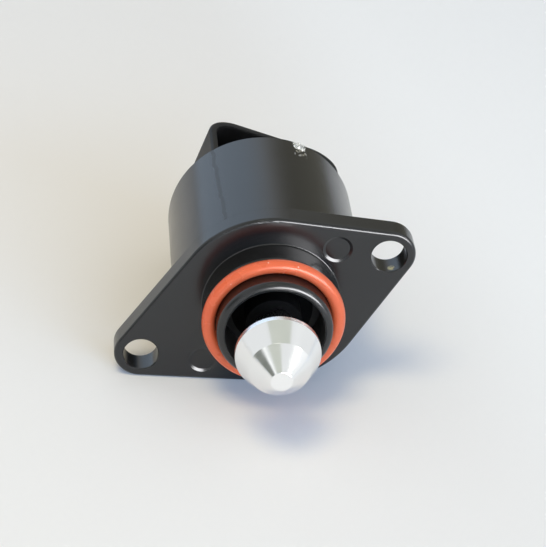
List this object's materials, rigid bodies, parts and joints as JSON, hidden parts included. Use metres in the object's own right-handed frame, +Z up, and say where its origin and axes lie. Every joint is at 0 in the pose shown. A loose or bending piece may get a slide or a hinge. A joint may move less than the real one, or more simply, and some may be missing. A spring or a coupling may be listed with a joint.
{
  "type": "idle air control valve",
  "caption": "Stepper idle air control valve: a black motor can on a diamond flange, a spigot with an orange sealing ring, a pintle on a lead screw and a socket for a wiring plug.",
  "frame": {"origin": "on the valve's axis, in the plane of the flange's mounting face", "axes": "-Y along the valve's axis towards the pintle's tip, +Z up as the valve lies on its can and on one lobe of its flange"},
  "size_m": [0.0536, 0.072, 0.036],
  "materials": {
    "flange_paint": "satin black paint on a die-cast flange body",
    "can_paint": "semi-gloss black paint on a drawn steel can",
    "cap_plastic": "matt dark grey moulded plastic",
    "ring_rubber": "smooth orange-red silicone rubber",
    "seal_rubber": "black rubber",
    "pintle_aluminium": "bright turned aluminium",
    "steel": "ground steel",
    "pole_steel": "pressed and plated soft steel",
    "terminal_brass": "tinned brass",
    "copper": "enamelled copper wire",
    "bush_bronze": "sintered bronze",
    "bobbin_plastic": "natural moulded plastic",
    "guide_plastic": "black moulded plastic",
    "hub_plastic": "dark moulded plastic",
    "ferrite": "dull grey ferrite"
  },
  "bodies": {
    "housing": {"flange_body": "flange_paint", "o_ring": "ring_rubber", "motor_can": "can_paint", "connector_cap": "cap_plastic", "terminal_1": "terminal_brass", "terminal_2": "terminal_brass", "terminal_3": "terminal_brass", "terminal_4": "terminal_brass", "cap_seal": "seal_rubber", "stator_cup_front": "pole_steel", "stator_cup_rear": "pole_steel", "stator_plate_front": "pole_steel", "stator_plate_rear": "pole_steel", "bobbin_front": "bobbin_plastic", "bobbin_rear": "bobbin_plastic", "coil_front": "copper", "coil_rear": "copper", "bearing_outer_race": "steel", "rear_bush": "bush_bronze", "preload_washer": "steel", "guide_sleeve": "guide_plastic"},
    "rotor": {"rotor_hub": "hub_plastic", "rotor_magnet": "ferrite", "bearing_inner_race": "steel"},
    "ball_cage": {"bearing_balls": "steel", "bearing_cage": "hub_plastic"},
    "plunger": {"lead_screw": "steel", "pintle": "pintle_aluminium"}
  },
  "joints": [
    {"name": "rotor_spin", "type": "hinge", "parent": "housing", "child": "rotor", "pos_m": [0, 0, 0], "axis": [0, -1, 0], "range_deg": [-719, 2339]},
    {"name": "ball_cage_spin", "type": "hinge", "parent": "housing", "child": "ball_cage", "pos_m": [0, 0, 0], "axis": [0, -1, 0], "range_deg": [-300, 975]},
    {"name": "pintle_travel", "type": "slide", "parent": "housing", "child": "plunger", "axis": [0, -1, 0], "range_m": [-0.0065, 0.002]}
  ],
  "couplings": [
    {"joint": "ball_cage_spin", "follows": "rotor_spin", "ratio": 0.41539},
    {"joint": "pintle_travel", "follows": "rotor_spin", "m_per_rad": -0.00015915}
  ]
}
